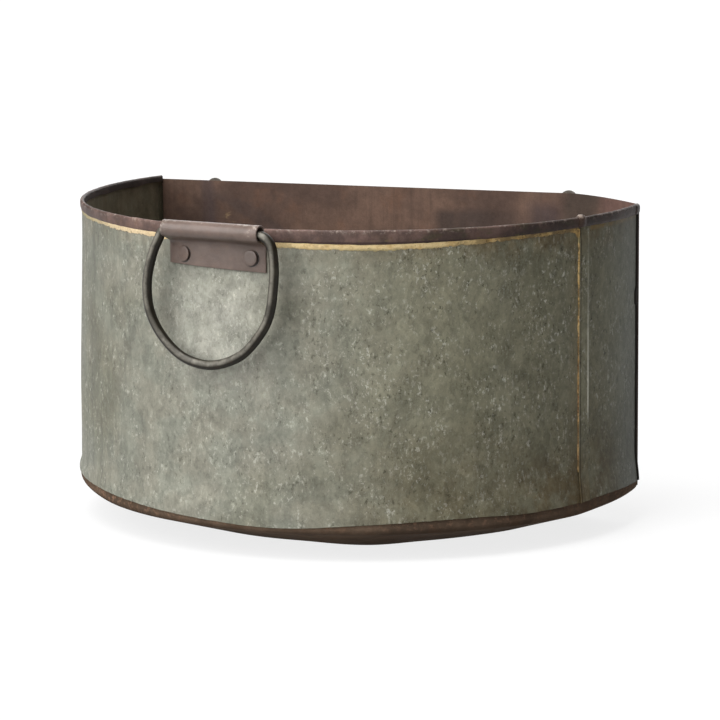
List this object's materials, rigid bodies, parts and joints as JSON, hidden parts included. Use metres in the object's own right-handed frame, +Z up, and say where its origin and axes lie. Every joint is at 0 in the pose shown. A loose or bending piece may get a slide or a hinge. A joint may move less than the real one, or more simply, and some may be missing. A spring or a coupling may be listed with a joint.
{
  "type": "half-round planter",
  "caption": "Half-round galvanised sheet planter with a flat brown steel back, rim trim, dished base, rear hanging tabs and a swinging D-ring handle in a front clip.",
  "frame": {"origin": "on the axis of the round wall, at the underside of the foot", "axes": "+X to the right along the back panel, +Y towards the back panel, +Z up; the handle is at -Y"},
  "size_m": [0.4842, 0.313, 0.2766],
  "materials": {
    "galvanised_wall": "weathered spangled zinc",
    "rim_trim": "worn brown, gold rubbed line below",
    "back_steel": "patchy rust brown",
    "base_steel": "dark rust brown",
    "clip_steel": "worn brown",
    "handle_bar": "dark satin bar",
    "hanger_zinc": "dull zinc"
  },
  "bodies": {
    "tub": {"front_sheet": "galvanised_wall", "side_sheet": "galvanised_wall", "rim_front": "rim_trim", "rim_side": "rim_trim", "back_panel": "back_steel", "base_pan": "base_steel", "handle_clip": "clip_steel", "clip_rivets": "clip_steel", "hanger_left": "hanger_zinc", "hanger_right": "hanger_zinc", "hanger_rivets": "hanger_zinc"},
    "handle": {"handle": "handle_bar"}
  },
  "joints": [
    {"name": "handle_swing", "type": "hinge", "parent": "tub", "child": "handle", "pos_m": [0, -0.249, 0.2664], "axis": [-1, 0, 0], "range_deg": [-2, 235]}
  ]
}
